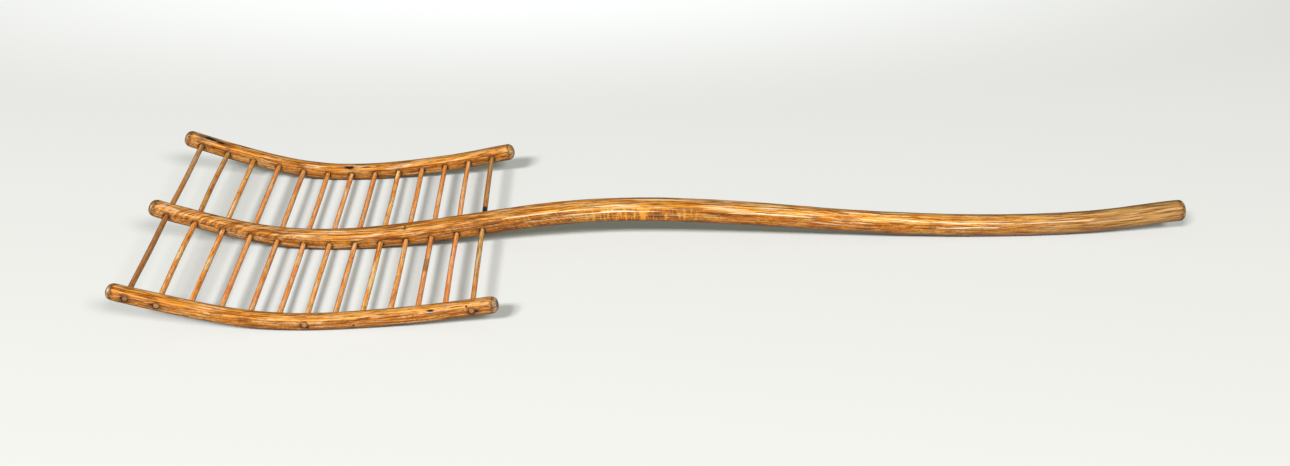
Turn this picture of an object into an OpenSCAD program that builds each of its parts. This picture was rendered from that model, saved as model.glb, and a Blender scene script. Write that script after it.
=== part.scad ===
// Wooden hay fork: one long bent handle that runs on as the middle tine of a wide head,
// two shorter bent rails beside it, and a row of straight rungs through all three.
// X runs from the tips to the butt of the handle, Y across the head, Z up from the floor.
// The origin is under the middle of the fork, at floor level.

/* [Head] */
// Length of the head, from the tips to the back ends of the side rails
head_l = 581; // [570:1:610]
// Distance between the middles of the two side rails
head_w = 429; // [360:1:480]
// Width and depth of the left side rail
left_rail_t = 23.5; // [20:0.5:28]
// Width and depth of the right side rail
right_rail_t = 26; // [22:0.5:30]
// Length over which each rounded end of a rail tapers
nose_l = 12; // [9:1:18]
// How far the right rail's tip stands above the handle's, and the left rail's below
head_wind = 5.4; // [0:0.1:10]

/* [Rungs] */
// Distance from the tips to the first rung
rung_start = 28.3; // [24:0.1:34]
// Height of the rungs' line above the underside of the wood
rung_line = 13; // [11:0.5:15]
// Distance from one rung to the next
rung_pitch = 42.7; // [40:0.1:43]
// Diameter of a rung
rung_dia = 8.5; // [7:0.1:10]
// Wood left outside the end of a blind rung
rung_skin = 3; // [2:0.5:5]

/* [Handle] */
// Whole length of the fork, from the tips to the butt
fork_l = 1727; // [1680:1:1800]
// Width and depth of the handle at its tip
tip_t = 26; // [22:0.5:30]
// Width of the handle where it bends up out of the head
neck_w = 37.5; // [34:0.5:42]
// Depth of the handle where it bends up out of the head
neck_d = 30; // [28:0.5:36]
// Width of the handle at the arch
arch_w = 36; // [32:0.5:40]
// Depth of the handle at the arch
arch_d = 30.5; // [28:0.5:36]
// Width of the handle behind the arch, before it turns round
fall_w = 37.5; // [34:0.5:42]
// Depth of the handle behind the arch
fall_d = 32.5; // [30:0.5:38]
// Diameter of the round grip
grip_dia = 36.4; // [34:0.1:40]
// Length of the straight butt
butt_l = 100; // [80:1:110]
// Length of the worn round-over at the end of the butt
butt_edge_l = 14; // [8:1:20]
// How much the round-over takes off the butt's radius
butt_edge_r = 7; // [4:0.5:10]

/* [Bend] */
// Height of the rungs' line at the tips
tip_h = 86; // [70:1:100]
// Slope of the head at the tips, in degrees down towards the belly
tip_slope = 20.6; // [16:0.1:25]
// Distance from the tips to the belly of the head, which rests on the floor
belly_x = 281; // [265:1:300]
// Distance from the tips to the steepest part of the neck
neck_x = 545; // [530:1:570]
// Height of the line at the neck
neck_h = 39.8; // [34:0.1:46]
// Slope at the neck, in degrees up towards the arch
neck_slope = 10.2; // [7:0.1:13]
// Distance from the tips to the top of the arch
arch_x = 773; // [740:1:810]
// Height of the line at the arch
arch_h = 61.6; // [54:0.1:70]
// Distance from the tips to the steepest part of the fall behind the arch
fall_x = 1100; // [1060:1:1140]
// Height of the line at the fall
fall_h = 35; // [30:0.1:40]
// Slope at the fall, in degrees down towards the grip
fall_slope = 6.5; // [4:0.1:8]
// Distance from the tips to the grip's low point, which rests on the floor
low_x = 1432; // [1400:1:1450]
// Height of the line where the straight butt starts
butt_h = 24.2; // [20:0.1:28]
// Slope of the straight butt, in degrees upwards
butt_slope = 8; // [6:0.1:11]

/* [Brads] */
// Diameter of a brad
brad_dia = 2.4; // [1.8:0.1:3]
// Length of a brad
brad_l = 17; // [14:0.5:20]

/* [Hidden] */
$fn = 64;

rail_colour = "peru";
rung_colour = "sienna";
iron_colour = "dimgray";

// The rungs whose ends run right through the side rails
through_rungs = [1, 2, 7, 13];
rung_count = 13;
right_brad_rung = 7;
handle_brad_rung = 10;

// Where each of the handle's sections is reached, as distances from the tips
tip_taper_x = 60;
neck_full_x = 400;
arch_full_x = 640;
fall_full_x = 930;
grip_full_x = 1230;

ring_points = 24;
ring_step = 24;
nose_steps = 5;
nose_bluntness = 0.65;
rail_squareness = 3.2;
arch_squareness = 3.6;
round_squareness = 2;
butt_x = fork_l - butt_l;
butt_overlap = 6;
butt_step = 0.06;
butt_arc_steps = 8;
bore_margin = 2;
rung_recess = 0.3;

// ---- The bend ----

// All three rails stand on one bent surface, and the rungs' line runs a fixed height above it.
// The line as [distance from the tips, height, slope in degrees]:
bend_knots = [
    [0, tip_h, -tip_slope],
    [belly_x, rung_line, 0],
    [neck_x, neck_h, neck_slope],
    [arch_x, arch_h, 0],
    [fall_x, fall_h, -fall_slope],
    [low_x, rung_line, 0],
    [butt_x, butt_h, butt_slope],
    [fork_l, butt_h + butt_l * tan(butt_slope), butt_slope]
];

function knot_before(x, knots) =
    max([for (i = [0 : len(knots) - 2]) x >= knots[i][0] || i == 0 ? i : 0]);

// Height of the line in the handle at x, as a cubic between the two knots around x
function middle_z(x) =
    let (
        i = knot_before(x, bend_knots),
        a = bend_knots[i],
        b = bend_knots[i + 1],
        span = b[0] - a[0],
        t = (x - a[0]) / span
    )
    (2 * t^3 - 3 * t^2 + 1) * a[1]
    + (t^3 - 2 * t^2 + t) * span * tan(a[2])
    + (3 * t^2 - 2 * t^3) * b[1]
    + (t^3 - t^2) * span * tan(b[2]);

// Rise per unit length of the line in the handle at x
function middle_rise(x) =
    let (
        i = knot_before(x, bend_knots),
        a = bend_knots[i],
        b = bend_knots[i + 1],
        span = b[0] - a[0],
        t = (x - a[0]) / span
    )
    6 * (t^2 - t) * (a[1] - b[1]) / span
    + (3 * t^2 - 4 * t + 1) * tan(a[2])
    + (3 * t^2 - 2 * t) * tan(b[2]);

// The head is wound a little, so that its right side bends more than its left
function wind(x) = head_wind * ((x - belly_x) / belly_x)^2;

// Height and slope of the line at x, y
function line_z(x, y) = middle_z(x) + wind(x) * 2 * y / head_w;
function line_slope(x, y) =
    atan(middle_rise(x) + 2 * head_wind * (x - belly_x) / belly_x^2 * 2 * y / head_w);

// ---- Cross-sections ----

// A section is [width, depth, squareness], where squareness 2 is an ellipse
left_section = [left_rail_t, left_rail_t, rail_squareness];
right_section = [right_rail_t, right_rail_t, rail_squareness];
tip_section = [tip_t, tip_t, rail_squareness];
grip_section = [grip_dia - 2 * butt_step, grip_dia - 2 * butt_step, round_squareness];

// The handle's sections as [distance from the tips, section]
handle_sections = [
    [tip_taper_x, tip_section],
    [neck_full_x, [neck_w, neck_d, rail_squareness]],
    [arch_full_x, [arch_w, arch_d, arch_squareness]],
    [fall_full_x, [fall_w, fall_d, arch_squareness]],
    [grip_full_x, grip_section],
    [fork_l, grip_section]
];

function ease(t) = let (c = min(max(t, 0), 1)) c * c * (3 - 2 * c);

function handle_section(x) =
    let (
        i = knot_before(x, handle_sections),
        a = handle_sections[i],
        b = handle_sections[i + 1],
        t = ease((x - a[0]) / (b[0] - a[0]))
    )
    a[1] + (b[1] - a[1]) * t;

// How far a section's middle is above the rungs' line
function lift(section) = section[1] / 2 - rung_line;

function signed_power(v, p) = sign(v) * pow(abs(v), p);

// A closed ring of points square to the line at x, y; scale shrinks it towards its middle
function ring(x, y, section, scale) =
    let (
        slope = line_slope(x, y),
        z = line_z(x, y),
        p = 2 / section[2]
    )
    [for (i = [0 : ring_points - 1])
        let (
            angle = 360 * i / ring_points,
            u = section[0] / 2 * scale * signed_power(cos(angle), p),
            v = section[1] / 2 * scale * signed_power(sin(angle), p) + lift(section)
        )
        [x - v * sin(slope), y + u, z + v * cos(slope)]
    ];

// The taper of a rounded end, as [distance from the end, scale] from the end inwards
nose_taper = [for (i = [1 : nose_steps])
    let (angle = 90 * i / (nose_steps + 0.5))
    [nose_l * (1 - pow(cos(angle), nose_bluntness)), pow(sin(angle), nose_bluntness)]
];

// The distances of the rings between two ends
function ring_places(from, to) =
    let (count = ceil((to - from) / ring_step))
    [for (i = [0 : count]) from + (to - from) * i / count];

// A solid skin over a list of rings
module loft(rings) {
    n = len(rings[0]);
    last = len(rings) - 1;
    polyhedron(
        points = [for (r = rings) each r],
        faces = [
            [for (j = [0 : n - 1]) j],
            [for (j = [0 : n - 1]) last * n + n - 1 - j],
            for (i = [0 : last - 1], j = [0 : n - 1])
                let (k = (j + 1) % n)
                each [
                    [i * n + j, (i + 1) * n + j, (i + 1) * n + k],
                    [i * n + j, (i + 1) * n + k, i * n + k]
                ]
        ]
    );
}

// ---- Rungs, bores and brads ----

function rung_x(number) = rung_start + (number - 1) * rung_pitch;

function is_through(number) = len(search(number, through_rungs)) > 0;

// How far a rung's two ends reach to the left and to the right of the middle
function rung_reach(number, rail_t) =
    head_w / 2 + rail_t / 2 - (is_through(number) ? rung_recess : rung_skin);

// A rung's rod, with some extra length at the ends that come out through the rails
module rod(number, extra) {
    x = rung_x(number);
    left = rung_reach(number, left_rail_t) + (is_through(number) ? extra : 0);
    right = rung_reach(number, right_rail_t) + (is_through(number) ? extra : 0);
    tilt = atan(wind(x) * 2 / head_w);
    translate([x, 0, middle_z(x)])
        rotate([tilt - 90, 0, 0])
            translate([0, 0, -left])
                cylinder(d = rung_dia, h = left + right);
}

module rung_bores() {
    for (number = [1 : rung_count]) rod(number, bore_margin);
}

// Sets a brad square to the line over a rung, flush with the top of a section
module brad_at(number, y, section) {
    x = rung_x(number);
    translate([x, y, line_z(x, y)])
        rotate([0, -line_slope(x, y), 0])
            translate([0, 0, section[1] - rung_line - brad_l])
                cylinder(d = brad_dia, h = brad_l);
}

module right_rail_brad() {
    brad_at(right_brad_rung, head_w / 2, right_section);
}

module handle_brad() {
    brad_at(handle_brad_rung, 0, handle_section(rung_x(handle_brad_rung)));
}

module brads() {
    color(iron_colour) {
        right_rail_brad();
        handle_brad();
    }
}

module rung(number) {
    color(rung_colour)
        difference() {
            rod(number, 0);
            if (number == right_brad_rung) right_rail_brad();
            if (number == handle_brad_rung) handle_brad();
        }
}

// ---- Rails and handle ----

module side_rail_blank(y, section) {
    loft([
        for (n = nose_taper) ring(n[0], y, section, n[1]),
        for (x = ring_places(nose_l, head_l - nose_l)) ring(x, y, section, 1),
        for (i = [nose_steps - 1 : -1 : 0])
            ring(head_l - nose_taper[i][0], y, section, nose_taper[i][1])
    ]);
}

module left_rail() {
    color(rail_colour)
        difference() {
            side_rail_blank(-head_w / 2, left_section);
            rung_bores();
        }
}

module right_rail() {
    color(rail_colour)
        difference() {
            side_rail_blank(head_w / 2, right_section);
            rung_bores();
            right_rail_brad();
        }
}

// The bent stick from the tip to just inside the butt
module handle_blank() {
    loft([
        for (n = nose_taper) ring(n[0], 0, tip_section, n[1]),
        for (x = ring_places(nose_l, butt_x + butt_overlap)) ring(x, 0, handle_section(x), 1)
    ]);
}

// The last straight length of the grip, a true cylinder with a worn edge
module butt() {
    r = grip_dia / 2;
    raise = r - rung_line;
    translate([butt_x - raise * sin(butt_slope), 0, butt_h + raise * cos(butt_slope)])
        rotate([0, 90 - butt_slope, 0])
            rotate_extrude()
                polygon([
                    [0, 0],
                    [r, 0],
                    for (i = [0 : butt_arc_steps])
                        let (angle = 90 * i / butt_arc_steps)
                        [
                            r - butt_edge_r * (1 - cos(angle)),
                            butt_l - butt_edge_l * (1 - sin(angle))
                        ],
                    [0, butt_l]
                ]);
}

module handle() {
    color(rail_colour)
        difference() {
            union() {
                handle_blank();
                butt();
            }
            rung_bores();
            handle_brad();
        }
}

// Where the rounded tips and the butt really end along X
tip_end = min([for (n = nose_taper, p = ring(n[0], head_w / 2, right_section, n[1])) p[0]]);
butt_end =
    butt_x
    - (grip_dia / 2 - rung_line) * sin(butt_slope)
    + butt_l * cos(butt_slope)
    + (grip_dia / 2 - butt_edge_r) * sin(butt_slope);

// Moves the fork so that the origin is under the middle of its box
module centred() {
    translate([-(tip_end + butt_end) / 2, (left_rail_t - right_rail_t) / 4, 0]) children();
}

centred() handle();
centred() left_rail();
centred() right_rail();
centred() rung(1);  // rung_01
centred() rung(2);  // rung_02
centred() rung(3);  // rung_03
centred() rung(4);  // rung_04
centred() rung(5);  // rung_05
centred() rung(6);  // rung_06
centred() rung(7);  // rung_07
centred() rung(8);  // rung_08
centred() rung(9);  // rung_09
centred() rung(10);  // rung_10
centred() rung(11);  // rung_11
centred() rung(12);  // rung_12
centred() rung(13);  // rung_13
centred() brads();
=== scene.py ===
"""The hay fork's looks: carved, worn wood around the CAD frame, on a pale studio floor.

Lengths are in metres, unless a name ends in _mm. X runs from the tips to the butt, Y to the right rail
and Z up. Each wooden piece is shaped along its own middle line, and its vertices carry their place in
the wood as attributes, so that the grain follows the bend:

  grain    distance along the line, then the offsets across and up from it
  section  the same offsets as shares of half the width and half the depth, then mm to the nearer end
  bore     mm to the middle line of the nearest rung

The rungs have "grain" too, and then "end" (mm to the nearer end), "tint", "red" and "burn".
"""

import math

import bmesh
import bpy
import numpy as np
from mathutils import Matrix, Vector, noise


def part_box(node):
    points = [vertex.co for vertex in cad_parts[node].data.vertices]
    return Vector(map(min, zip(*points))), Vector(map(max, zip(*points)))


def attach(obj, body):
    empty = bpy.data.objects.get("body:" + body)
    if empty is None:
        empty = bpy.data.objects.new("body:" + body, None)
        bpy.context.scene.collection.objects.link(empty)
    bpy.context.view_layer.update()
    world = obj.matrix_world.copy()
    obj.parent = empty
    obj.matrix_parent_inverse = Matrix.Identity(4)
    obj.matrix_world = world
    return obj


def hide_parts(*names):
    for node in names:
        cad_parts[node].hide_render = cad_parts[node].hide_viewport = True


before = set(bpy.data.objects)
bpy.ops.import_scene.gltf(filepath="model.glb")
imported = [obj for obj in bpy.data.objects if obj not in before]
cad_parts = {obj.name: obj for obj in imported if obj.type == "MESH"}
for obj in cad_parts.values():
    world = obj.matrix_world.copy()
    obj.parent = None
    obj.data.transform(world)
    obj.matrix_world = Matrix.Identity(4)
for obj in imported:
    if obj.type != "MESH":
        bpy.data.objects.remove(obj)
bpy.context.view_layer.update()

MM = 0.001
rng = np.random.default_rng(7)

# ---- Driving values: shapes ----

# Reading a stick from its CAD node
slice_inset = 15 * MM
slice_step = 6 * MM
line_step = 0.5 * MM

# Degree of the curve through the slices, and the share of a square-cut end's overhang that each end has
side_line_fit = (8, (0.24, 0.24))
handle_line_fit = (16, (0.30, 0.34))

# All vertices this near to a CAD rung's or brad's end belong to that end
end_reach = 1.5 * MM

# Sticks: the handle and the two side rails
ring_step = 2.6 * MM
ring_points = 56
nose_length = 13.5 * MM
butt_rounding = 9 * MM
nose_power = 0.82
nose_rings = 12
superellipse_samples = 721
stick_crease = 42

# Squareness of the section at shares of a stick's length: 2 is round, and more is squarer
side_squareness = [(0.0, 3.1)]
handle_squareness = [(0.0, 3.0), (0.20, 3.2), (0.30, 4.4), (0.52, 3.8), (0.68, 2.2), (1.0, 2.0)]

# Unevenness left by the drawknife: its height, the size of its lumps and a shift of the noise
shave_layers = [
    (0.42 * MM, (0.075, 0.03, 0.03), 0),
    (0.22 * MM, (0.028, 0.011, 0.011), 3),
    (0.07 * MM, (0.012, 0.0035, 0.0035), 5),
]
wear_layer = (0.5 * MM, (0.006, 0.006, 0.006), 9)
wear_length = 10 * MM
highest_bump = 0.35 * MM

# Place, size and depth of the knocked-out splinter in the right rail
right_dents = [((0.294, -0.0055, 0.0124), (0.012, 0.0042, 0.005), 1.6 * MM)]
dent_power = 0.7

# Bores for the rungs, flared to a lip where they come out of the wood
bore_radius = 4.7 * MM
bore_lip = 0.7 * MM
bore_points = 40
lip_start = 0.1 * MM
lip_depth = 1.3 * MM
past_face = 2 * MM
past_rung = 0.2 * MM
dirt_past_rung = 1.5 * MM
far_from_bores = 1.0

# Rungs. The chamfer lists distances from the end, and the size of the section there
rung_count = 13
through_rungs = (1, 2, 7, 13)
rung_radius = 4.52 * MM
rung_points = 28
rung_rings = 110
rung_cap = 1.2 * MM
rung_chamfer = [(0.0, 0.55), (0.25 * MM, 0.84), (0.6 * MM, 0.96)]
rung_crease = 50
bay_width = 0.205
most_bow = 0.9 * MM

# Whittling: depths as shares of the radius, changes in a metre, and the flats' wander in radians
usual_thickness = 0.935
thickness_swing = 0.045
swing_rate = 14
flat_depth = 0.035
fewest_flats = 7
flat_wander = 1.5
wander_rate = 6
lump_depth = 0.02
lump_rate = 40
lump_spread = 1.7

# How dark each rung is in the left and the right bay, and how red
rung_tints = {1: (0.66, 0.50), 2: (0.06, 0.38), 3: (0.0, 0.0), 11: (0.14, 0.08), 13: (0.30, 0.52)}
rung_reds = {1: 0.5, 4: 0.85, 5: 0.6, 6: 0.55, 7: 0.4, 8: 0.5, 10: 0.45, 11: 0.65, 12: 0.75}
most_plain_tint = 0.1

# Burnt or dirty spots on the rungs: Y of the middle, reach to either side, and strength
rung_burns = {11: [(-0.098, 0.016, 0.45)], 13: [(0.036, 0.010, 1.0), (-0.212, 0.010, 0.8)]}
burn_edge = 1.5 * MM
burn_lumps = (0.003, 0.004, 0.003)

# Brads: heights and radii of the pin's foot, and of its head counted from the top of the CAD pin
brad_foot_mm = [(0.0, 0.35), (1.2, 1.0)]
brad_head_mm = [(-1.5, 1.15), (-0.3, 1.5), (0.15, 1.35), (0.35, 0.8)]
brad_point = 0.3 * MM
brad_dome = 0.45 * MM
brad_points = 18
brad_unevenness = 0.08
brad_crease = 40

# ---- Driving values: wood ----

# Distance between growth rings, their wander, and how they lean over near the tip
rail_rings = {"spacing": 3.2 * MM, "wander": 12 * MM, "lean": 0.15, "lean_end": 0.20}
handle_rings = {"spacing": 3.4 * MM, "wander": 22 * MM, "lean": 0.45, "lean_end": 0.34}

# Offset of each stick from the middle of its tree
left_centre = (0.055, 0.035)
right_centre = (-0.05, 0.045)
handle_centre = (0.045, 0.075)

# How much more dirt there is near the ends, and how far it reaches
rail_end_dirt = 0.42
handle_end_dirt = 0.0
full_end_dirt_mm = 25.0
no_end_dirt_mm = 120.0
bore_dirt_mm = 6.0

# Places along the handle: slanting lines, the cross-figured arch, and the grip
slant_steepness = 1.15
slant_end = 0.31
figure_start = 0.71
figure_end = 0.93
grip_start = 1.25
grip_end = 1.72

# Hands have rubbed the wood from the first of these places on, and fully from the second; the painted
# highlights on the grip follow the same places
rubbed_start = 0.50
rubbed_full = 0.72

# How far the surface is turned away where the painted shade at a slant is darkest, from 0 to 1
slant_full = 0.85

rail_stops = [
    (0.0, (0.22, 0.056, 0.003)),
    (0.25, (0.55, 0.160, 0.008)),
    (0.5, (0.88, 0.315, 0.028)),
    (0.75, (1.0, 0.49, 0.115)),
    (1.0, (1.0, 0.78, 0.46)),
]
rung_stops = [
    (0.0, (0.62, 0.130, 0.008)),
    (0.25, (1.0, 0.285, 0.028)),
    (0.5, (1.0, 0.41, 0.060)),
    (0.75, (1.0, 0.58, 0.17)),
    (1.0, (1.0, 0.88, 0.58)),
]

early_wood = (0.25, 0.072, 0.004)
late_wood = (0.97, 0.51, 0.10)
pale_streak = (1.0, 0.82, 0.58)
dark_hair = (0.15, 0.043, 0.004)
open_pore = (0.085, 0.028, 0.006)
slant_dark = (0.24, 0.066, 0.008)
slant_pale = (1.0, 0.54, 0.20)
worn_patch = (0.17, 0.050, 0.010)
# Painted shade: the side faces are multiplied by this to darken them against the top
painted_side_shade = (0.66, 0.57, 0.44)
side_fleck = (0.15, 0.052, 0.006)
figure_pale = (0.92, 0.40, 0.050)
figure_dark = (0.19, 0.062, 0.006)
figure_stroke = (0.15, 0.050, 0.006)
# Painted highlight on the grip's upper corners
painted_corner_highlight = (1.0, 0.72, 0.36)
rubbed_shade = (0.96, 0.89, 0.54)
# Painted highlight streaks along the grip
painted_highlight_streak = (1.0, 0.86, 0.58)
# Painted shade: multiplied into the undersides to darken them
painted_under_shade = (0.34, 0.37, 0.42)
grime_dark = (0.11, 0.050, 0.010)
grime_pale = (0.54, 0.29, 0.085)
bore_dirt = (0.070, 0.024, 0.007)
# Painted shade inside the bores
painted_bore_shade = (0.025, 0.010, 0.004)
end_edge = (0.080, 0.030, 0.010)
end_dark = (0.10, 0.045, 0.018)
end_check = (0.06, 0.028, 0.012)
usual_end = (0.62, 0.40, 0.20)
pale_end = (0.86, 0.76, 0.58)
stain = (0.14, 0.055, 0.018)
black_mark = (0.014, 0.009, 0.006)
# Painted shade, multiplied in where the surface is seen at a slant
painted_slant_shade = (0.31, 0.23, 0.16)
bounced_brown = (0.22, 0.18, 0.12)

rung_pore = (0.16, 0.055, 0.016)
rung_worn = (0.32, 0.085, 0.014)
rung_speckle = (0.17, 0.045, 0.006)
# Painted highlight colour for the rungs
painted_rung_highlight = (1.0, 0.88, 0.56)
rung_red = (1.0, 0.29, 0.085)
rung_dark = (0.17, 0.062, 0.014)
rung_burnt = (0.016, 0.010, 0.007)
rung_end = (0.24, 0.095, 0.028)

# Dark marks: centre (along, across, up) and half sizes. Stains: the same, and their strength
left_marks_mm = [
    ((490, -9, 11), (8, 3.2, 3)),
    ((370, -11.7, -2), (2.2, 3, 2.4)),
    ((546, -9, 11), (2.6, 2.4, 3)),
    ((560, -11.7, 1), (5, 3, 2.6)),
    ((26, -11.7, 3), (4, 3, 1.6)),
    ((68, -11.7, 3), (6, 3, 1.4)),
    ((300, -11.7, -3), (3, 3, 1.8)),
]
left_stains_mm = [
    ((31, -11.5, 1), (15, 5, 8), 0.9),
    ((75, -11.5, 1), (18, 5, 7), 0.95),
    ((295, -11.5, 1), (12, 5, 6), 0.8),
    ((556, -11.5, 1), (16, 6, 8), 0.85),
    ((588, 0, 0), (30, 15, 15), 0.75),
]
right_marks_mm = [
    ((294, -5.5, 12.4), (11, 3.8, 5)),
    ((42, -1.0, 13), (13, 4.4, 5)),
    ((61, -3.5, 13), (8, 3.4, 4)),
    ((381, 9, 12), (5, 2.6, 4)),
]
right_stains_mm = [
    ((42, 0, 13), (30, 10, 8), 0.75),
    ((70, -4, 13), (24, 8, 6), 0.7),
    ((294, -5, 12.5), (20, 6, 6), 0.6),
    ((326, -6, 12.5), (14, 3.2, 4), 0.9),
    ((348, -5, 12.5), (9, 2.6, 4), 0.8),
    ((28, -4, 8), (16, 9, 9), 0.7),
]
handle_marks_mm = [((424, -6, 15), (2.4, 2.2, 4))]
handle_stains_mm = [((424, -6, 15), (8, 6, 6), 0.6)]

# ---- Driving values: stage ----

# Each light: the direction it comes from, its length and width, and its power in watts
strip_lights = {
    "key": ((-0.62, -0.87, 1.0), (3.6, 1.5), 1105),
    "fill": ((0.62, -0.90, 1.0), (4.4, 1.9), 690),
}
light_distance = 12.0
light_colour = (1.0, 0.992, 0.996)
room_light = 0.215
room_colour = (0.975, 1.0, 0.80)
backdrop_colour = (0.78, 0.80, 0.77)

# Floor, with a painted patch of light on it behind the fork, which also glows a little
floor_reach = 9.0
floor_front = (0.826, 0.824, 0.814)
floor_back = (0.812, 0.819, 0.814)
floor_front_y = -0.75
floor_back_y = 0.50
# The painted patch of light: its middle, radii, colour and glow
painted_light_patch_centre = (-0.28, 1.30)
painted_light_patch_radii = (2.3, 0.90)
painted_light_patch_colour = (0.975, 0.985, 1.0)
painted_light_patch_glow_colour = (0.82, 0.87, 1.0)
painted_light_patch_glow = 0.14

# Camera: the spot on the floor that it aims at, then degrees, and millimetres for lens and sensor
aim_x = -0.050
aim_y = 0.021
camera_distance = 2.032
camera_elevation = 35.117
camera_azimuth = 1.824
camera_reach = 50.0
lens_mm = 33.12
sensor_mm = 36.0


# ---- Reading the frame ----


def node_points(node):
    """The vertices of a CAD node's mesh."""
    return np.array([v.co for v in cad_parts[node].data.vertices], float)


def edge_ends(node):
    """The two ends of every edge of a CAD node's mesh."""
    points = node_points(node)
    pairs = np.array([e.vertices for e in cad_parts[node].data.edges], int)
    return points[pairs[:, 0]], points[pairs[:, 1]]


def slice_extents(ends, x):
    """The lowest and highest Y and Z where the plane at x cuts the edges."""
    a, b = ends
    cut_through = (a[:, 0] < x) != (b[:, 0] < x)
    a, b = a[cut_through], b[cut_through]
    t = (x - a[:, 0]) / (b[:, 0] - a[:, 0])
    points = a + (b - a) * t[:, None]
    return points[:, 1].min(), points[:, 1].max(), points[:, 2].min(), points[:, 2].max()


class Line:
    """A stick's middle line, width and depth, read from its CAD node."""

    def __init__(self, node, degree, end_shares):
        lo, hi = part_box(node)
        ends = edge_ends(node)
        count = int((hi.x - lo.x - 2 * slice_inset) / slice_step)
        xs = np.linspace(lo.x + slice_inset, hi.x - slice_inset, count)
        y0, y1, z0, z1 = np.array([slice_extents(ends, x) for x in xs]).T
        fit = np.polynomial.Chebyshev.fit
        self.node = node
        self.low, self.high = xs[0], xs[-1]
        self.middle = fit(xs, (z0 + z1) / 2, degree)
        self.slope = self.middle.deriv()
        self.side = fit(xs, (y0 + y1) / 2, 2)
        self.width = fit(xs, y1 - y0, degree)
        self.depth = fit(xs, (z1 - z0) * np.cos(self.angle(xs)), degree)
        # A blunt, tilted end stands out past the end of its middle line
        start = lo.x + self.overhang(lo.x) * end_shares[0]
        end = hi.x - self.overhang(hi.x) * end_shares[1]
        self.x = np.linspace(start, end, int((end - start) / line_step))
        steps = np.hypot(np.diff(self.x), np.diff(self.z_at(self.x)))
        self.s = np.concatenate([[0], np.cumsum(steps)])
        self.length = self.s[-1]

    def inside(self, x):
        """The nearest x at which the node was read."""
        return np.clip(x, self.low, self.high)

    def angle(self, x):
        """How steeply the line climbs at x."""
        return np.arctan(self.slope(self.inside(x)))

    def overhang(self, x):
        """How far a square-cut end at x would stand out past the middle line."""
        return abs(np.sin(self.angle(x))) * self.depth(self.inside(x)) / 2

    def z_at(self, x):
        """Height of the line, straight on beyond the ends that were read."""
        inside = self.inside(x)
        return self.middle(inside) + self.slope(inside) * (x - inside)

    def s_of(self, x):
        """Distance along the line at x."""
        return np.interp(x, self.x, self.s)

    def at(self, s):
        """The line's point, climb, width and depth at a distance s along it."""
        x = np.interp(s, self.s, self.x)
        inside = self.inside(x)
        return {
            "point": np.stack([x, self.side(inside), self.z_at(x)], -1),
            "angle": self.angle(x),
            "width": self.width(inside),
            "depth": self.depth(inside),
        }

    def offsets(self, points, x):
        """How far the points lie along, across and up from the line's own point at x."""
        sin, cos = np.sin(self.angle(x)), np.cos(self.angle(x))
        dx = points[:, 0] - x
        dz = points[:, 2] - self.z_at(x)
        across = points[:, 1] - self.side(self.inside(x))
        return dx * cos + dz * sin, across, dz * cos - dx * sin

    def place(self, points):
        """Distance along the line, and offsets across and up from it, for each point."""
        x = points[:, 0]
        # Each step comes nearer to the foot of the point on the line; four are plenty for these bends
        for _ in range(4):
            x = x + self.offsets(points, x)[0] * np.cos(self.angle(x))
        x = np.clip(x, self.x[0], self.x[-1])
        along, across, up = self.offsets(points, x)
        return np.column_stack([self.s_of(x) + along, across, up])


# ---- Mesh helpers ----


def signed_power(v, p):
    return np.sign(v) * np.abs(v) ** p


def unit_ring(squareness, count):
    """Evenly spaced points round a superellipse that fills the square from -1 to 1."""
    angles = np.linspace(0, 2 * math.pi, superellipse_samples)
    u = signed_power(np.cos(angles), 2 / squareness)
    v = signed_power(np.sin(angles), 2 / squareness)
    run = np.concatenate([[0], np.cumsum(np.hypot(np.diff(u), np.diff(v)))])
    at = np.linspace(0, run[-1], count, endpoint=False)
    return np.interp(at, run, u), np.interp(at, run, v)


def turned(angle, across, up):
    """Offsets across and up from a line that climbs at this angle, as X, Y and Z."""
    return np.column_stack([-up * np.sin(angle), across, up * np.cos(angle)])


def cross_axes(axis, reference):
    """Two directions at right angles to axis and to each other, the first also to reference."""
    side = np.cross(axis, reference)
    side = side / np.linalg.norm(side)
    return side, np.cross(side, axis)


def ring_angles(count):
    return np.arange(count) * 2 * math.pi / count


def round_ring(middle, radius, side, up, angles):
    """A ring of points round middle. The radius is one length, or one for each angle."""
    return middle + np.outer(radius * np.cos(angles), side) + np.outer(radius * np.sin(angles), up)


def skin(rings, first, last):
    """Points and faces of a closed skin over rings, with a point at either end."""
    count = len(rings[0])
    points = [p for ring in rings for p in ring] + [first, last]
    start = len(points) - 2
    end = len(points) - 1
    top = (len(rings) - 1) * count
    faces = []
    for i in range(len(rings) - 1):
        for j in range(count):
            k = (j + 1) % count
            faces.append((i * count + j, i * count + k, (i + 1) * count + k, (i + 1) * count + j))
    for j in range(count):
        k = (j + 1) % count
        faces.append((start, k, j))
        faces.append((end, top + j, top + k))
    return points, faces


def mesh_object(name, skins):
    """One mesh object from one or more closed skins, with its faces turned outward."""
    points = []
    faces = []
    for skin_points, skin_faces in skins:
        faces += [tuple(i + len(points) for i in face) for face in skin_faces]
        points += [tuple(p) for p in skin_points]
    mesh = bpy.data.meshes.new(name)
    mesh.from_pydata(points, [], faces)
    mesh.validate()
    turner = bmesh.new()
    turner.from_mesh(mesh)
    bmesh.ops.recalc_face_normals(turner, faces=turner.faces)
    turner.to_mesh(mesh)
    turner.free()
    piece = bpy.data.objects.new(name, mesh)
    bpy.context.scene.collection.objects.link(piece)
    return piece


def value_noise(points, size):
    """Smooth noise from about -1 to 1, whose lumps measure about size in each direction."""
    scaled = np.asarray(points) / np.asarray(size)
    return np.array([noise.noise(Vector(p)) for p in scaled])


def noise_at(x, y, z):
    return noise.noise(Vector((x, y, z)))


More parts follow.
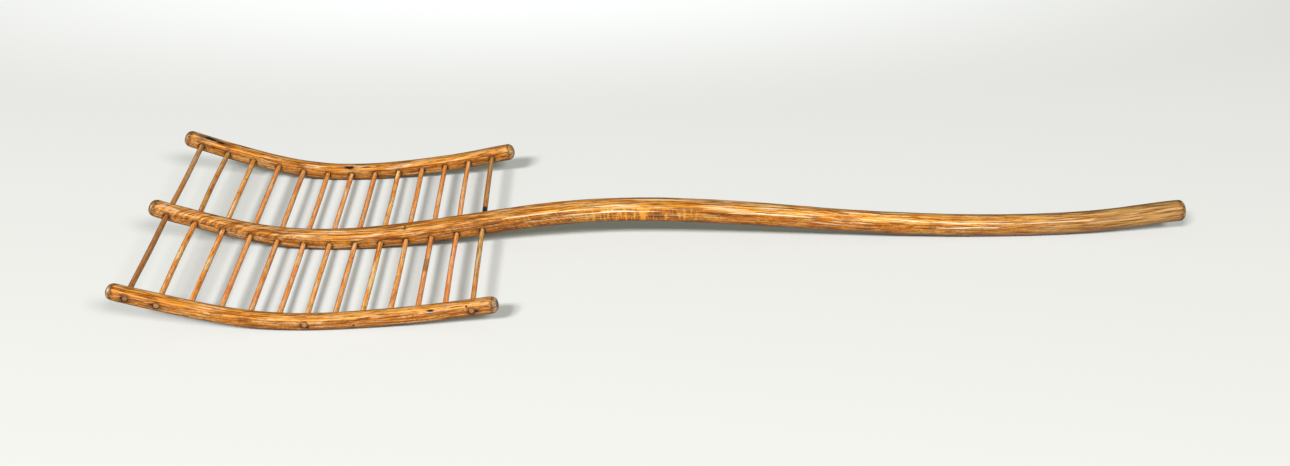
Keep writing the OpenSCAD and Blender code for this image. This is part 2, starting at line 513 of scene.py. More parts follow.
def set_vectors(piece, name, values):
    attribute = piece.data.attributes.new(name, "FLOAT_VECTOR", "POINT")
    attribute.data.foreach_set("vector", np.asarray(values, np.float32).ravel())


def set_floats(piece, name, values):
    attribute = piece.data.attributes.new(name, "FLOAT", "POINT")
    attribute.data.foreach_set("value", np.asarray(values, np.float32))


def vertex_points(piece):
    points = np.zeros(len(piece.data.vertices) * 3, np.float32)
    piece.data.vertices.foreach_get("co", points)
    return points.reshape(-1, 3).astype(float)


def cut(piece, cutter):
    """Takes cutter out of piece, and removes it."""
    modifier = piece.modifiers.new("cut", "BOOLEAN")
    modifier.operation = "DIFFERENCE"
    modifier.solver = "EXACT"
    modifier.object = cutter
    bpy.context.view_layer.update()
    cut_piece = piece.evaluated_get(bpy.context.evaluated_depsgraph_get())
    result = bpy.data.meshes.new_from_object(cut_piece)
    piece.modifiers.clear()
    piece.data = result
    bpy.data.objects.remove(cutter)


def finish_piece(piece, node, material, crease):
    """Shades a piece smooth up to the crease angle, and puts it in the place of a CAD node."""
    piece.data.shade_smooth()
    piece.data.set_sharp_from_angle(angle=math.radians(crease))
    piece.data.materials.clear()
    piece.data.materials.append(material)
    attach(piece, "root")
    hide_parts(node)


# ---- Rungs as the frame holds them ----


def rung_node(number):
    return f"rung_{number:02d}"


def rung_ends(number):
    """The middles of a rung's left and right ends."""
    points = node_points(rung_node(number))
    y = points[:, 1]
    left = points[y < y.min() + end_reach].mean(0)
    right = points[y > y.max() - end_reach].mean(0)
    return left, right


RUNGS = {number: rung_ends(number) for number in range(1, rung_count + 1)}


def rung_point(number, y):
    """The point of a rung's middle line at y."""
    left, right = RUNGS[number]
    t = (y - left[1]) / (right[1] - left[1])
    return left + (right - left) * t


def rung_axes(number):
    """A rung's length, the direction that it runs in, and two directions across it."""
    left, right = RUNGS[number]
    length = np.linalg.norm(right - left)
    axis = (right - left) / length
    return length, axis, *cross_axes(axis, [0, 0, 1])


# ---- Sticks ----


def blend(table, t):
    """The value at t, going smoothly from each (place, value) of a table to the next."""
    for (a, start), (b, end) in zip(table, table[1:]):
        if t <= b:
            share = (t - a) / (b - a)
            return start + (end - start) * share * share * (3 - 2 * share)
    return table[-1][1]


def nose(length):
    """Distances from a rounded end, and the size of the section there."""
    angles = np.linspace(0, math.pi / 2, nose_rings + 1)[1:-1]
    return [(length * (1 - math.cos(a) ** nose_power), math.sin(a) ** nose_power) for a in angles]


def stick_places(length, end_round):
    """Distances along a stick, and the size of the section there."""
    count = int((length - nose_length - end_round) / ring_step)
    places = nose(nose_length)
    places += [(s, 1.0) for s in np.linspace(nose_length, length - end_round, count)]
    places += [(length - s, scale) for s, scale in reversed(nose(end_round))]
    return places


def dent(grain, centre, size, depth):
    """How far an oval dent goes in, at each place in the wood."""
    away = np.sqrt((((grain - np.asarray(centre)) / np.asarray(size)) ** 2).sum(1))
    return depth * np.clip(1 - away, 0, 1) ** dent_power


def shave(points, line, seed, dents):
    """Moves the surface in or out a little, as a drawknife, use and knocks leave it."""
    grain = line.place(points)
    shifted = grain + seed
    move = sum(height * value_noise(shifted + shift, lumps) for height, lumps, shift in shave_layers)
    from_end = np.minimum(grain[:, 0], line.length - grain[:, 0])
    worn = np.clip(1 - from_end / wear_length, 0, 1)
    height, lumps, shift = wear_layer
    move += height * worn * value_noise(shifted + shift, lumps)
    for centre, size, depth in dents:
        move -= dent(grain, centre, size, depth)
    move = np.minimum(move, highest_bump)
    outward = grain[:, 1:] / np.maximum(np.hypot(grain[:, 1], grain[:, 2]), 0.001 * MM)[:, None]
    return points + turned(line.at(grain[:, 0])["angle"], outward[:, 0] * move, outward[:, 1] * move)


def bore_stations(number, line, blind_side):
    """Where a bore starts, changes and ends along Y, and its radius there."""
    left, right = RUNGS[number]
    here = line.at(line.s_of(rung_point(number, line.side(left[0]))[0]))
    near = here["point"][1] - here["width"] / 2
    far = here["point"][1] + here["width"] / 2
    blind = 0 if number in through_rungs else blind_side
    wide = bore_radius + bore_lip
    if blind < 0:
        stations = [(left[1] - past_rung, bore_radius)]
    else:
        stations = [(near - past_face, wide), (near + lip_start, wide), (near + lip_depth, bore_radius)]
    if blind > 0:
        stations += [(right[1] + past_rung, bore_radius)]
    else:
        stations += [(far - lip_depth, bore_radius), (far - lip_start, wide), (far + past_face, wide)]
    return stations


def bore_cutter(line, blind_side):
    """All the rung bores through a stick. A blind side (-1 left, 1 right) is not bored through."""
    skins = []
    for number in RUNGS:
        _, _, side, up = rung_axes(number)
        stations = bore_stations(number, line, blind_side)
        middles = [rung_point(number, y) for y, _ in stations]
        rings = []
        for middle, (_, radius) in zip(middles, stations):
            rings.append(round_ring(middle, radius, side, up, ring_angles(bore_points)))
        skins.append(skin(rings, middles[0], middles[-1]))
    return mesh_object("cutter", skins)


def mark_wood(piece, line):
    """Gives each vertex its place in the wood and in the section, and its distance from the rungs."""
    points = vertex_points(piece)
    grain = line.place(points)
    here = line.at(grain[:, 0])
    across = grain[:, 1] / (here["width"] / 2)
    up = grain[:, 2] / (here["depth"] / 2)
    end = np.minimum(grain[:, 0], line.length - grain[:, 0])
    bore = np.full(len(points), far_from_bores)
    for number in RUNGS:
        length, axis, _, _ = rung_axes(number)
        away = points - RUNGS[number][0]
        run = away @ axis
        beside = (run > -dirt_past_rung) & (run < length + dirt_past_rung)
        distance = np.linalg.norm(away - np.outer(run, axis), axis=1)
        bore = np.where(beside, np.minimum(bore, distance), bore)
    set_vectors(piece, "grain", grain)
    set_vectors(piece, "section", np.column_stack([across, up, end / MM]))
    set_floats(piece, "bore", bore / MM)


def carved_stick(line, material, squareness, seed, blind_side=0, dents=(), end_round=nose_length):
    """A hand-shaved stick with softened corners, rounded, worn ends and a bore for each rung."""
    rings = []
    for s, scale in stick_places(line.length, end_round):
        here = line.at(s)
        u, v = unit_ring(blend(squareness, s / line.length), ring_points)
        across = u * here["width"] / 2 * scale
        up = v * here["depth"] / 2 * scale
        rings.append(here["point"] + turned(here["angle"], across, up))
    points, faces = skin(rings, line.at(0.0)["point"], line.at(line.length)["point"])
    points = shave(np.array(points), line, seed, dents)
    piece = mesh_object(f"carved_{line.node}", [(points, faces)])
    cut(piece, bore_cutter(line, blind_side))
    mark_wood(piece, line)
    finish_piece(piece, line.node, material, stick_crease)


# ---- Rungs ----


def rung_seed(number):
    """A place of its own in the noise for each rung."""
    return 17.0 * number


def rung_skin(number, turn, bow):
    """A whittled rod: soft flats, a slight bow between the rails and slightly uneven thickness."""
    left, right = RUNGS[number]
    length, axis, side, up = rung_axes(number)
    seed = rung_seed(number)
    flats = fewest_flats + number % 3
    angles = ring_angles(rung_points)
    places = list(rung_chamfer)
    places += [(s, 1.0) for s in np.linspace(rung_cap, length - rung_cap, rung_rings)]
    places += [(length - s, scale) for s, scale in reversed(rung_chamfer)]
    rings = []
    for s, scale in places:
        on_axis = left + axis * s
        bays = math.sin(math.pi * min(abs(on_axis[1]) / bay_width, 1.0)) ** 2
        middle = on_axis + (side * bow[0] + up * bow[1]) * bays
        thick = usual_thickness + thickness_swing * noise_at(s * swing_rate, seed, 0.5)
        wander = flat_wander * noise_at(s * wander_rate, seed, 2.0)
        flat = flat_depth * np.cos(flats * (angles + turn) + wander)
        round_x = seed + lump_spread * np.cos(angles)
        round_y = lump_spread * np.sin(angles)
        lumps = np.array([noise_at(s * lump_rate, x, y) for x, y in zip(round_x, round_y)])
        share = np.minimum(thick + flat + lump_depth * lumps, 1.0)
        rings.append(round_ring(middle, rung_radius * scale * share, side, up, angles))
    return skin(rings, left, right)


def mark_rung(piece, number, tints):
    """Gives each vertex its place in the rung's wood, and how dark, red and burnt it is."""
    length, axis, side, up = rung_axes(number)
    points = vertex_points(piece)
    away = points - RUNGS[number][0]
    along = away @ axis
    burn = np.zeros(len(points))
    for burn_y, reach, strength in rung_burns.get(number, ()):
        ragged = value_noise(points, burn_lumps)
        inside = (reach - np.abs(points[:, 1] - burn_y)) / burn_edge
        burn = np.maximum(burn, strength * np.clip(inside + ragged, 0, 1))
    set_vectors(piece, "grain", np.column_stack([along + rung_seed(number), away @ side, away @ up]))
    set_floats(piece, "end", np.minimum(along, length - along) / MM)
    set_floats(piece, "tint", np.where(points[:, 1] < 0, tints[0], tints[1]))
    set_floats(piece, "red", np.full(len(points), rung_reds.get(number, 0.0)))
    set_floats(piece, "burn", burn)


def shaved_rung(number, material, tints):
    """One rung, turned about its axis and bowed by chance."""
    turn = rng.uniform(0, math.pi)
    bow = rng.uniform(-most_bow, most_bow, 2)
    piece = mesh_object(f"shaved_{rung_node(number)}", [rung_skin(number, turn, bow)])
    mark_rung(piece, number, tints)
    finish_piece(piece, rung_node(number), material, rung_crease)


# ---- Brads ----


def brad_skin(points):
    """A small round iron pin, with a slightly domed head, round the points of a CAD pin."""
    z = points[:, 2]
    top = points[z > z.max() - end_reach].mean(0)
    foot = points[z < z.min() + end_reach].mean(0)
    length = np.linalg.norm(top - foot)
    axis = (top - foot) / length
    side, back = cross_axes(axis, [0, 1, 0])
    angles = ring_angles(brad_points)
    profile_mm = brad_foot_mm + [(length / MM + rise, radius) for rise, radius in brad_head_mm]
    rings = []
    for height_mm, radius_mm in profile_mm:
        uneven = np.array([noise_at(math.cos(a), math.sin(a), height_mm) for a in angles])
        radius = radius_mm * MM * (1 + brad_unevenness * uneven)
        rings.append(round_ring(foot + axis * height_mm * MM, radius, side, -back, angles))
    return skin(rings, foot - axis * brad_point, foot + axis * (length + brad_dome))


def iron_brads():
    """The pin in the handle and the pin in the right rail."""
    points = node_points("brads")
    between = points[:, 1].mean()
    skins = [brad_skin(points[points[:, 1] < between]), brad_skin(points[points[:, 1] > between])]
    piece = mesh_object("iron_brads", skins)
    finish_piece(piece, "brads", dark_iron(), brad_crease)


# ---- Node materials ----


class Graph:
    """A small helper that builds one node material."""

    def __init__(self, name):
        self.material = bpy.data.materials.new(name)
        self.material.use_nodes = True
        self.tree = self.material.node_tree
        self.tree.nodes.clear()
        self.shader = self.node("ShaderNodeBsdfPrincipled")
        output = self.node("ShaderNodeOutputMaterial")
        self.tree.links.new(self.shader.outputs["BSDF"], output.inputs["Surface"])

    def node(self, kind, **settings):
        made = self.tree.nodes.new(kind)
        for key, value in settings.items():
            setattr(made, key, value)
        return made

    def feed(self, socket, value):
        if isinstance(value, bpy.types.NodeSocket):
            self.tree.links.new(value, socket)
        elif isinstance(value, (tuple, list)) and socket.type == "RGBA":
            socket.default_value = (*value, 1.0)
        else:
            socket.default_value = value

    def surface(self, inputs):
        """Sets the shader's inputs, by their names in Blender, and returns the material."""
        for name, value in inputs.items():
            self.feed(self.shader.inputs[name], value)
        return self.material

    def math(self, operation, *values):
        made = self.node("ShaderNodeMath", operation=operation)
        for socket, value in zip(made.inputs, values):
            self.feed(socket, value)
        return made.outputs[0]

    def times(self, first, *others):
        for other in others:
            first = self.math("MULTIPLY", first, other)
        return first

    def plus(self, first, *others):
        for other in others:
            first = self.math("ADD", first, other)
        return first

    def linear(self, value, factor, offset):
        """The value times factor, plus offset."""
        return self.math("MULTIPLY_ADD", value, factor, offset)

    def attribute(self, name, output="Fac"):
        return self.node("ShaderNodeAttribute", attribute_name=name).outputs[output]

    def split(self, vector):
        made = self.node("ShaderNodeSeparateXYZ")
        self.feed(made.inputs[0], vector)
        return made.outputs

    def join(self, x, y, z):
        made = self.node("ShaderNodeCombineXYZ")
        for socket, value in zip(made.inputs, (x, y, z)):
            self.feed(socket, value)
        return made.outputs[0]

    def vector(self, operation, *values, output="Vector"):
        made = self.node("ShaderNodeVectorMath", operation=operation)
        for socket, value in zip(made.inputs, values):
            self.feed(socket, value)
        return made.outputs[output]

    def noise(self, at, size_mm, shift=0.0, detail=3.0, rough=0.6):
        """Noise from 0 to 1 with lumps of the given size, one length for each direction."""
        scaled = self.vector("MULTIPLY", at, tuple(1 / (v * MM) for v in size_mm))
        moved = self.vector("ADD", scaled, (shift, shift * 1.7, shift * 2.3))
        made = self.node("ShaderNodeTexNoise", noise_dimensions="3D")
        self.feed(made.inputs["Vector"], moved)
        made.inputs["Scale"].default_value = 1.0
        made.inputs["Detail"].default_value = detail
        made.inputs["Roughness"].default_value = rough
        return made.outputs["Fac"]

    def span(self, value, low, high, out_low=0.0, out_high=1.0):
        """Turns value from low to high smoothly into out_low to out_high."""
        made = self.node("ShaderNodeMapRange", interpolation_type="SMOOTHSTEP")
        for socket, v in zip(made.inputs, (value, low, high, out_low, out_high)):
            self.feed(socket, v)
        return made.outputs[0]

    def mix(self, factor, a, b, kind="MIX"):
        made = self.node("ShaderNodeMix", data_type="RGBA", blend_type=kind)
        self.feed(made.inputs["Factor"], factor)
        self.feed(made.inputs[6], a)
        self.feed(made.inputs[7], b)
        return made.outputs[2]

    def ramp(self, value, stops):
        made = self.node("ShaderNodeValToRGB")
        ramp = made.color_ramp
        while len(ramp.elements) < len(stops):
            ramp.elements.new(0.5)
        for element, (position, colour) in zip(ramp.elements, stops):
            element.position = position
            element.color = (*colour, 1.0)
        self.feed(made.inputs["Fac"], value)
        return made.outputs["Color"]

    def bump(self, height, distance, strength, under=None):
        made = self.node("ShaderNodeBump")
        made.inputs["Strength"].default_value = strength
        made.inputs["Distance"].default_value = distance
        self.feed(made.inputs["Height"], height)
        if under is not None:
            self.feed(made.inputs["Normal"], under)
        return made.outputs["Normal"]


class Wood(Graph):
    """A material that builds up the colour of wood in layers."""

    def __init__(self, name):
        super().__init__(name)
        self.grain = self.attribute("grain", "Vector")
        self.colour = None

    def lay(self, colour, *masks, kind="MIX"):
        """Lays a colour over the wood, as strongly as the product of the masks."""
        self.colour = self.mix(self.times(*masks), self.colour, colour, kind)

    def patches(self, size_mm, low, high, shift, detail=3.0, rough=0.6):
        """A mask of lumps in the wood: 0 where the noise is at low, 1 where it is at high."""
        return self.span(self.noise(self.grain, size_mm, shift, detail, rough), low, high)

    def blot(self, centre_mm, size_mm, soft):
        """A mask over an oval patch of the wood, with an uneven edge."""
        away = self.vector("SUBTRACT", self.grain, tuple(v * MM for v in centre_mm))
        scaled = self.vector("MULTIPLY", away, tuple(1 / (v * MM) for v in size_mm))
        distance = self.vector("LENGTH", scaled, output="Value")
        ragged = self.linear(self.noise(self.grain, (4, 1, 1), rough=0.5), 0.5, -0.25)
        return self.span(self.plus(distance, ragged), 1.0 - soft, 1.0, 1.0, 0.0)

    def varnished(self, slant_from, inputs):
        """The finished material: painted shade where the surface is seen at a slant, and a plain brown
        for the light that it bounces.
        """
        slant = self.node("ShaderNodeLayerWeight").outputs["Facing"]
        # Painted shade where the surface is seen at a slant
        self.lay(painted_slant_shade, self.span(slant, slant_from, slant_full), kind="MULTIPLY")
        bounced = self.node("ShaderNodeLightPath").outputs["Is Diffuse Ray"]
        self.lay(bounced_brown, bounced)
        return self.surface({"Base Color": self.colour, **inputs})


class StickWood(Wood):
    """Varnished, worn ring-porous wood with open pores, streaks, flecks and dirt, and with painted
    highlights and painted shade.
    """

    def __init__(self, name):
        super().__init__(name)
        self.along, self.right, self.above = self.split(self.grain)
        self.across, self.up, self.end = self.split(self.attribute("section", "Vector"))
        self.bore = self.attribute("bore")
        self.side_on = self.span(self.math("ABSOLUTE", self.across), 0.72, 0.96)
        self.rubbed = self.span(self.along, rubbed_start, rubbed_full)
        self.streak = self.patches((55, 2.4, 2.4), 0.34, 0.66, 1, 4, 0.62)

    def ring_pattern(self, centre, spacing, wander, lean, lean_end):
        """Growth rings round the tree's middle. Returns 0 to 1 across each ring."""
        straight = self.join(self.along, 0.0, 0.0)
        slow_u = self.noise(straight, (330, 1000, 1000), centre[0] * 90, 1.5, 0.4)
        slow_v = self.noise(straight, (270, 1000, 1000), centre[1] * 70 + 5, 1.5, 0.4)
        to_tip = self.math("MAXIMUM", self.math("SUBTRACT", lean_end, self.along), 0.0)
        crossing = self.times(to_tip, to_tip, lean / (2 * lean_end))
        du = self.plus(self.right, centre[0], self.linear(slow_u, 2 * wander, -wander), crossing)
        dv = self.plus(self.above, centre[1], self.linear(slow_v, 2 * wander, -wander))
        radius = self.math("SQRT", self.plus(self.times(du, du), self.times(dv, dv)))
        wobble = self.noise(self.grain, (60, 6, 6), 2, 3, 0.55)
        phase = self.plus(self.math("DIVIDE", radius, spacing), self.times(wobble, 1.3))
        return self.math("FRACT", phase)

    def growth(self, centre, rings):
        """Streaked wood with growth rings, long pale and dark strokes, and open pores."""
        ring = self.ring_pattern(centre, **rings)
        self.early = self.span(ring, 0.0, 0.36, 1.0, 0.0)
        broad = self.patches((160, 9, 9), 0.32, 0.68, 4, 3, 0.5)
        pores = self.patches((7.5, 0.6, 0.6), 0.55, 0.66, 7, 2)
        self.pores = self.times(pores, self.linear(self.early, 0.85, 0.15))
        self.colour = self.ramp(self.linear(self.streak, 0.70, self.times(broad, 0.30)), rail_stops)
        self.lay(early_wood, self.early, 0.52)
        self.lay(late_wood, self.span(ring, 0.55, 1.0), 0.34)
        self.lay(pale_streak, self.patches((70, 3, 3), 0.57, 0.66, 40), 0.80)
        self.lay(dark_hair, self.patches((38, 2.7, 2.7), 0.54, 0.62, 9, 3, 0.62), 0.80)
        self.lay(open_pore, self.pores, 0.7)

    def slanting_lines(self):
        """Grain that runs across the top face near the middle tip."""
        shift = self.linear(self.times(self.along, self.along), -0.5 / slant_end, self.along)
        over = self.linear(shift, -slant_steepness, self.right)
        lines = self.noise(self.join(self.along, over, self.above), (50, 4.6, 16), 61, 3, 0.55)
        near_tip = self.span(self.along, slant_end - 0.12, slant_end, 1.0, 0.0)
        there = self.times(near_tip, self.span(self.up, -0.2, 0.5))
        self.lay(slant_dark, self.span(lines, 0.50, 0.58), there, 0.70)
        self.lay(slant_pale, self.span(lines, 0.48, 0.40), there, 0.65)

    def worn_patches(self, end_dirt):
        """Worn, dirty patches, with more of them near the ends by the share end_dirt."""
        near_end = self.span(self.end, full_end_dirt_mm, no_end_dirt_mm, 1.0, 0.0)
        worn = self.patches((17, 4.2, 4.2), 0.50, 0.66, 51, 4, 0.66)
        self.lay(worn_patch, worn, self.linear(near_end, end_dirt, 0.32))

    def side_faces(self):
        """The side faces get painted shade, darker than the top faces, and show flecks and mottling."""
        # Painted shade on the side faces
        self.lay(painted_side_shade, self.side_on, kind="MULTIPLY")
        self.lay(side_fleck, self.patches((4.8, 3.4, 2.0), 0.53, 0.62, 12), self.side_on, 0.6)

    def arch_figure(self):
        """Cross-figure on the side of the arch, with slanting strokes before it."""
        rising = self.span(self.along, figure_start, figure_start + 0.05)
        falling = self.span(self.along, figure_end - 0.05, figure_end, 1.0, 0.0)
        on_arch = self.times(rising, falling, self.side_on)
        band = self.noise(self.grain, (4.6, 30, 17), 33)
        some = self.patches((30, 20, 9), 0.36, 0.56, 35, 2, 0.5)
        self.lay(figure_pale, self.span(band, 0.50, 0.60), on_arch, 0.75)
        self.lay(figure_dark, self.span(band, 0.49, 0.38), on_arch, some, 0.78)
        slanting = self.join(self.linear(self.above, 0.9, self.along), self.right, self.above)
        strokes = self.noise(slanting, (3.6, 20, 10), 37, 2, 0.5)
        starting = self.span(self.along, figure_start - 0.26, figure_start - 0.18)
        stopping = self.span(self.along, figure_start + 0.03, figure_start - 0.03)
        before = self.times(starting, stopping, self.side_on)
        self.lay(figure_stroke, self.span(strokes, 0.50, 0.60), before, 0.80)

    def rubbing_and_painted_light(self):
        """Painted highlights on the grip's upper corners and in long lines along it, a tint where hands
        have rubbed it, and painted shade on the undersides.
        """
        corner = self.span(self.math("ABSOLUTE", self.across), 0.62, 0.90)
        on_top = self.span(self.up, 0.62, 0.88)
        patchy = self.patches((30, 4, 4), 0.40, 0.62, 15)
        # Painted highlight on the grip's upper corners
        self.lay(painted_corner_highlight, corner, on_top, patchy, self.rubbed, 0.55)
        self.lay(rubbed_shade, self.rubbed, kind="MULTIPLY")
        # Painted highlight: pale lines at mid-height along the rubbed grip
        painted_highlight_lines = self.patches((120, 3.1, 3.1), 0.56, 0.62, 71, 2, 0.5)
        self.lay(painted_highlight_streak, painted_highlight_lines, self.rubbed, self.span(self.up, -0.1, 0.35), 0.82)
        # Painted shade on the undersides
        self.lay(painted_under_shade, self.span(self.up, -0.25, -0.9), kind="MULTIPLY")

    def grip_grime(self):
        """The grip turns greyer towards the butt."""
        grime = self.mix(self.streak, grime_dark, grime_pale)
        self.lay(grime, self.span(self.along, grip_start, grip_end, 0.0, 0.80))

    def dirty_bores(self):
        """Old varnish and dirt gather round the bores, and painted shade darkens the walls inside them.
        """
        rim = bore_radius / MM
        around = self.span(self.bore, rim, rim + bore_dirt_mm, 1.0, 0.0)
        self.lay(bore_dirt, around, self.patches((4, 3, 3), 0.25, 0.6, 18), 0.90)
        # Painted shade on the walls inside the bores
        self.lay(painted_bore_shade, self.span(self.bore, rim + 0.1, rim + 0.6, 1.0, 0.0), 0.9)

    def bare_ends(self, end_colour):
        """The ends are bare end grain with checks in it, inside a dirty edge of varnish."""
        uneven = self.linear(self.noise(self.grain, (7, 4.5, 4.5)), 16.0, -8.0)
        rough_end = self.plus(self.end, uneven)
        inner_edge = self.span(rough_end, 8.5, 13.0, 1.0, 0.0)
        self.lay(end_edge, self.span(rough_end, 5.0, 8.0), inner_edge, 0.70)
        self.bare = self.span(rough_end, 3.0, 8.0, 1.0, 0.0)
        end_grain = self.mix(self.patches((3.2, 2.2, 2.2), 0.40, 0.54, 21, 3, 0.7), end_dark, end_colour)
        self.lay(end_grain, self.bare, 0.85)
        checks = self.patches((20, 0.9, 3.5), 0.60, 0.66, 24, 2, 0.5)
        self.checks = self.times(checks, self.span(self.end, 2.0, 16.0, 1.0, 0.0))
        self.lay(end_check, self.checks)

    def finished(self):
        """Adds the fine relief, the varnish and the painted shade at a slant."""
        height = self.linear(self.pores, -1.0, self.times(self.streak, 0.5))
        height = self.linear(self.early, -0.35, height)
        height = self.linear(self.checks, -1.5, height)
        waves = self.noise(self.grain, (20, 6, 6), 27, 2, 0.5)
        normal = self.bump(waves, 0.9 * MM, 0.35)
        normal = self.bump(height, 0.35 * MM, 0.8, normal)
        roughness = self.linear(self.noise(self.grain, (50, 10, 10), 30), 0.22, 0.32)
        inputs = {
            "Roughness": self.linear(self.bare, 0.30, roughness),
            "Normal": normal,
            "Coat Normal": normal,
            "Coat Weight": self.linear(self.rubbed, 0.10, 0.08),
            "Coat Roughness": 0.22,
            "Specular IOR Level": 0.15,
        }
        return self.varnished(0.30, inputs)


def stick_wood(name, centre, rings, marks_mm, stains_mm, end_dirt, end_colour, is_handle=False):
    """One stick's wood. The centre is the stick's offset from the middle of its tree."""
    wood = StickWood(name)
    wood.growth(centre, rings)
    if is_handle:
        wood.slanting_lines()
    wood.worn_patches(end_dirt)
    wood.side_faces()
    if is_handle:
        wood.arch_figure()
    wood.rubbing_and_painted_light()
    if is_handle:
        wood.grip_grime()
    wood.dirty_bores()
    wood.bare_ends(end_colour)
    for centre_mm, size_mm, strength in stains_mm:
        wood.lay(stain, wood.blot(centre_mm, size_mm, 0.7), strength)
    for centre_mm, size_mm in marks_mm:
        wood.lay(black_mark, wood.blot(centre_mm, size_mm, 0.45))
    return wood.finished()


def rung_wood():
    """Straight-grained, whittled rod, each one a little different."""
    wood = Wood("rung_wood")
    streak = wood.patches((45, 1.8, 1.8), 0.34, 0.66, 1, 4)
    broad = wood.patches((50, 12, 12), 0.32, 0.68, 3, 2, 0.5)
    pores = wood.patches((5, 0.4, 0.4), 0.60, 0.70, 7, 2)
    wood.colour = wood.ramp(wood.linear(streak, 0.6, wood.times(broad, 0.4)), rung_stops)
    wood.lay(rung_pore, pores, 0.5)
    wood.lay(rung_worn, wood.patches((20, 3.6, 3.6), 0.53, 0.68, 51), 0.45)
    wood.lay(rung_speckle, wood.patches((9, 2.4, 2.4), 0.55, 0.65, 57), 0.72)
    # Painted highlight: pale streaky patches on the rungs
    wood.lay(painted_rung_highlight, wood.patches((30, 2.8, 2.8), 0.54, 0.64, 63), 0.72)
    wood.lay(rung_red, wood.attribute("red"), 0.55)
    wood.lay(rung_dark, wood.attribute("tint"))
    wood.lay(rung_burnt, wood.attribute("burn"))
    wood.lay(rung_end, wood.span(wood.attribute("end"), 0.2, 1.2, 1.0, 0.0), 0.75)
    normal = wood.bump(wood.linear(pores, -1.0, wood.times(streak, 0.6)), 0.3 * MM, 0.8)
    inputs = {
        "Roughness": wood.linear(broad, 0.2, 0.34),
        "Normal": normal,
        "Coat Normal": normal,
        "Coat Weight": 0.45,
        "Coat Roughness": 0.24,
        "Specular IOR Level": 0.2,
    }
    return wood.varnished(0.42, inputs)


def dark_iron():
    g = Graph("dark_iron")
    position = g.node("ShaderNodeNewGeometry").outputs["Position"]
    rust = g.span(g.noise(position, (1.2, 1.2, 1.2), detail=4), 0.4, 0.65)
    colour = g.mix(rust, (0.030, 0.024, 0.020), (0.10, 0.045, 0.02))
    return g.surface({"Base Color": colour, "Metallic": 0.6, "Roughness": g.linear(rust, 0.3, 0.5)})


def floor_paper():
    """Pale paper, with a painted patch of light on it behind the fork, which also glows a little."""
    g = Graph("floor_paper")
    x, y, _ = g.split(g.node("ShaderNodeNewGeometry").outputs["Position"])
    colour = g.mix(g.span(y, floor_front_y, floor_back_y), floor_front, floor_back)
    away_x = g.math("DIVIDE", g.math("SUBTRACT", x, painted_light_patch_centre[0]), painted_light_patch_radii[0])
    away_y = g.math("DIVIDE", g.math("SUBTRACT", y, painted_light_patch_centre[1]), painted_light_patch_radii[1])
    away = g.math("SQRT", g.plus(g.times(away_x, away_x), g.times(away_y, away_y)))
    # A painted patch of light, which also glows through the emission
    light_patch = g.span(away, 0.25, 1.0, 1.0, 0.0)
    inputs = {
        "Base Color": g.mix(light_patch, colour, painted_light_patch_colour),
        "Roughness": 0.85,
        "Emission Color": painted_light_patch_glow_colour,
        "Emission Strength": g.times(light_patch, painted_light_patch_glow),
    }
    return g.surface(inputs)


# ---- Stage ----


def make_floor():
    r = floor_reach
    mesh = bpy.data.meshes.new("floor")
    mesh.from_pydata([(-r, -r, 0), (r, -r, 0), (r, r, 0), (-r, r, 0)], [], [(0, 1, 2, 3)])
    mesh.materials.append(floor_paper())
    floor = bpy.data.objects.new("floor", mesh)
    bpy.context.scene.collection.objects.link(floor)


def strip_light(name, direction, size, power):
    """A long soft light that lies along X, aimed at the fork from far away."""
    data = bpy.data.lights.new(name, "AREA")
    data.shape = "RECTANGLE"
    data.size, data.size_y = size
    data.energy = power
    data.color = light_colour
    light = bpy.data.objects.new(name, data)
    back = Vector(direction).normalized()
    side = (Vector((1, 0, 0)) - back * back.x).normalized()
    light.matrix_world = Matrix((side, back.cross(side), back)).transposed().to_4x4()
    light.location = back * light_distance
    bpy.context.scene.collection.objects.link(light)


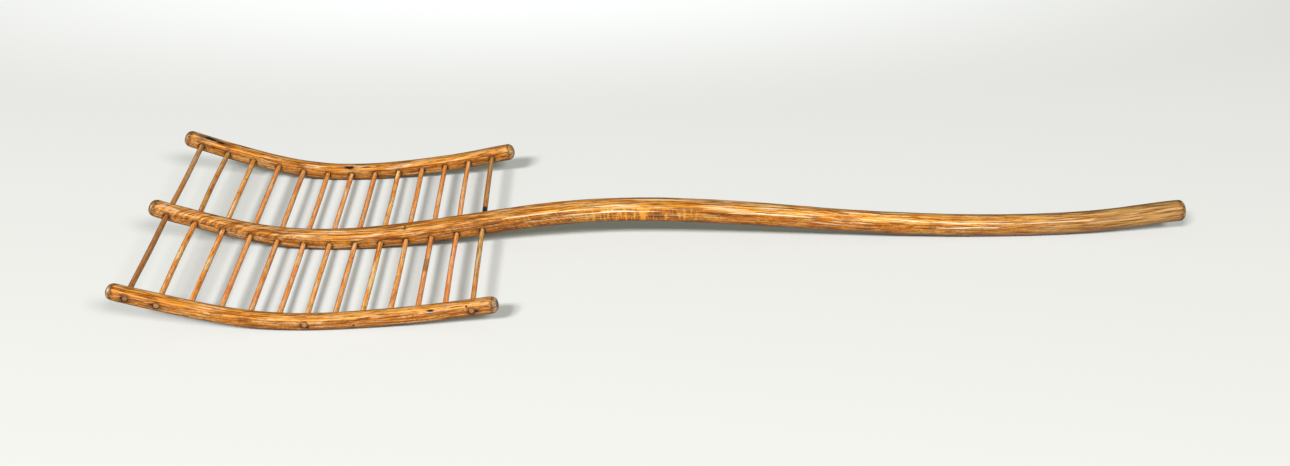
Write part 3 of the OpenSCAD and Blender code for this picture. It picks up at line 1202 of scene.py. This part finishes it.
def make_world():
    """A dim room around the fork. The camera sees a pale backdrop instead of it."""
    world = bpy.data.worlds.new("studio")
    bpy.context.scene.world = world
    world.use_nodes = True
    tree = world.node_tree
    seen = tree.nodes.new("ShaderNodeLightPath").outputs["Is Camera Ray"]
    colour = tree.nodes.new("ShaderNodeMix")
    colour.data_type = "RGBA"
    tree.links.new(seen, colour.inputs["Factor"])
    colour.inputs[6].default_value = (*(v * room_light for v in room_colour), 1.0)
    colour.inputs[7].default_value = (*backdrop_colour, 1.0)
    tree.links.new(colour.outputs[2], tree.nodes["Background"].inputs["Color"])


def make_camera():
    data = bpy.data.cameras.new("camera")
    data.lens = lens_mm
    data.sensor_width = sensor_mm
    data.sensor_fit = "HORIZONTAL"
    data.clip_end = camera_reach
    camera = bpy.data.objects.new("camera", data)
    elevation = math.radians(camera_elevation)
    azimuth = math.radians(camera_azimuth)
    level = math.cos(elevation)
    forward = Vector((math.sin(azimuth) * level, math.cos(azimuth) * level, -math.sin(elevation)))
    camera.location = Vector((aim_x, aim_y, 0)) - forward * camera_distance
    camera.rotation_euler = forward.to_track_quat("-Z", "Y").to_euler()
    bpy.context.scene.collection.objects.link(camera)
    bpy.context.scene.camera = camera


# ---- Build ----

left_wood = stick_wood(
    "left_rail_wood",
    left_centre,
    rail_rings,
    left_marks_mm,
    left_stains_mm,
    rail_end_dirt,
    pale_end,
)
right_wood = stick_wood(
    "right_rail_wood",
    right_centre,
    rail_rings,
    right_marks_mm,
    right_stains_mm,
    rail_end_dirt,
    usual_end,
)
handle_wood = stick_wood(
    "handle_wood",
    handle_centre,
    handle_rings,
    handle_marks_mm,
    handle_stains_mm,
    handle_end_dirt,
    usual_end,
    is_handle=True,
)

left_line = Line("left_rail", *side_line_fit)
right_line = Line("right_rail", *side_line_fit)
handle_line = Line("handle", *handle_line_fit)
carved_stick(left_line, left_wood, side_squareness, seed=11.0, blind_side=-1)
carved_stick(right_line, right_wood, side_squareness, seed=23.0, blind_side=1, dents=right_dents)
carved_stick(handle_line, handle_wood, handle_squareness, seed=37.0, end_round=butt_rounding)

shared_rung_wood = rung_wood()
for number in RUNGS:
    plain = rng.uniform(0.0, most_plain_tint)
    shaved_rung(number, shared_rung_wood, rung_tints.get(number, (plain, plain)))

iron_brads()

make_floor()
make_world()
for light_name, (direction, size, power) in strip_lights.items():
    strip_light(light_name, direction, size, power)
make_camera()
bpy.context.scene.view_settings.view_transform = "Standard"
